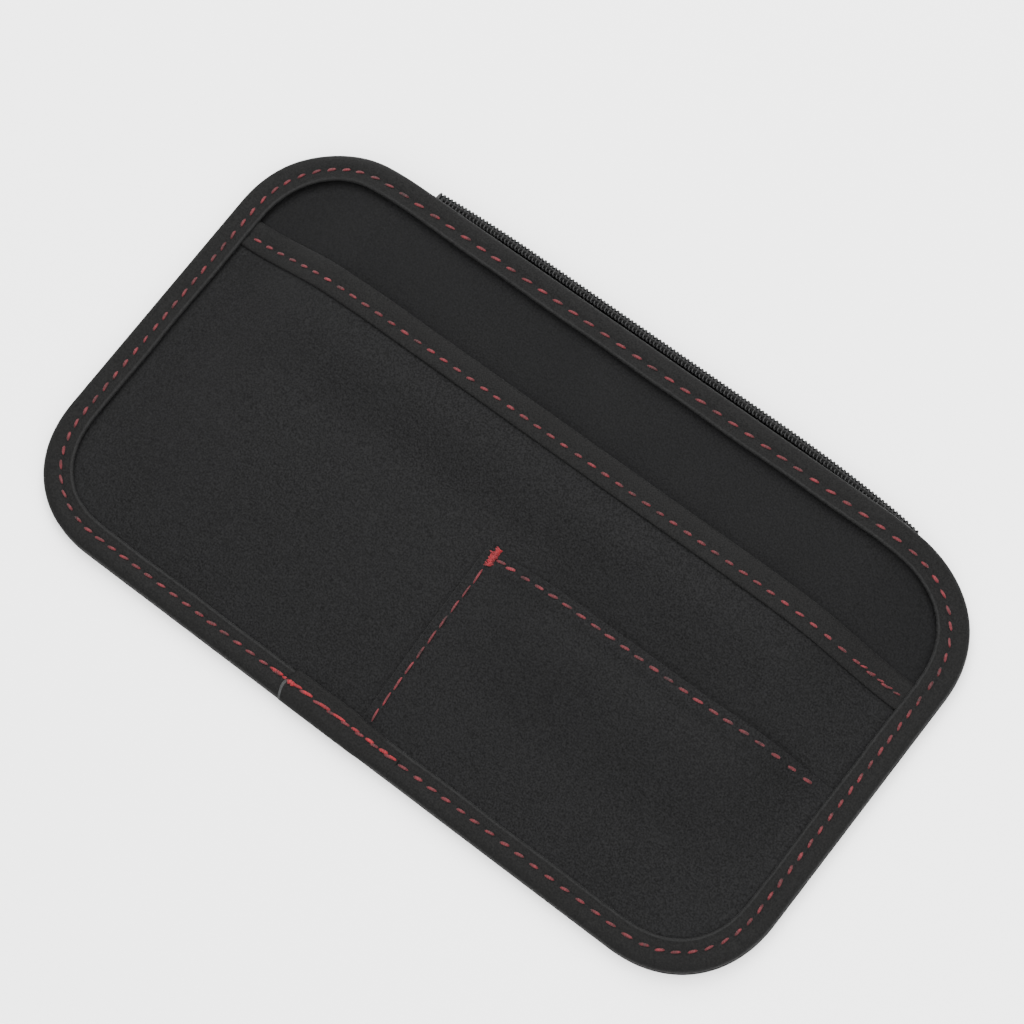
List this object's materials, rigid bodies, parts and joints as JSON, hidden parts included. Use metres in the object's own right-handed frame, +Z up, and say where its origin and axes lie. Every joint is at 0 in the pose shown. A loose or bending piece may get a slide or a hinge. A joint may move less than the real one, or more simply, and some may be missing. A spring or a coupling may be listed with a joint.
{
  "type": "zip organiser pouch",
  "caption": "Flat rounded rectangular zip pouch with bound edges, a hemmed slot pocket across the front and a small front pocket.",
  "frame": {"origin": "centre of the bounding box's base, on the face the pouch lies on", "axes": "+X along the long side and the zip, +Y towards the zip mouth, +Z up out of the front face"},
  "size_m": [0.232, 0.1336, 0.0177],
  "materials": {
    "panel": "matt black coated sheet with a fine grain",
    "binding": "matt black coated strip with a fine grain",
    "lining": "plain black woven lining",
    "board": "plain grey board",
    "thread": "red polyester thread",
    "tape": "black woven zip tape",
    "coil": "black nylon filament",
    "metal": "black lacquered metal"
  },
  "bodies": {
    "pouch": {"back_panel": "panel", "back_board": "board", "back_lining": "lining", "back_binding": "binding", "front_lining": "lining", "front_panel": "panel", "front_binding": "binding", "slot_pocket_panel": "panel", "slot_pocket_hem": "binding", "small_pocket_panel": "panel", "perimeter_thread_front": "thread", "perimeter_thread_back": "thread", "hem_thread": "thread", "small_pocket_mouth_thread": "thread", "small_pocket_side_thread": "thread", "bar_tack": "thread", "zip_tape_front": "tape", "zip_tape_back": "tape", "zip_coil_front": "coil", "zip_coil_back": "coil", "top_stop_front": "metal", "top_stop_back": "metal", "bottom_stop": "metal"},
    "slider": {"slider_body": "metal", "slider_bail": "metal"},
    "tab": {"pull_tab": "metal"}
  },
  "joints": [
    {"name": "zip_slide", "type": "slide", "parent": "pouch", "child": "slider", "axis": [1, 0, 0], "range_m": [0, 0.1605], "deforming": ["zip_coil_front", "zip_coil_back", "zip_tape_front", "zip_tape_back"]},
    {"name": "tab_hinge", "type": "hinge", "parent": "slider", "child": "tab", "pos_m": [-0.082, 0.06265, 0.0052], "axis": [0, 0, 1], "range_deg": [0, 165]}
  ]
}
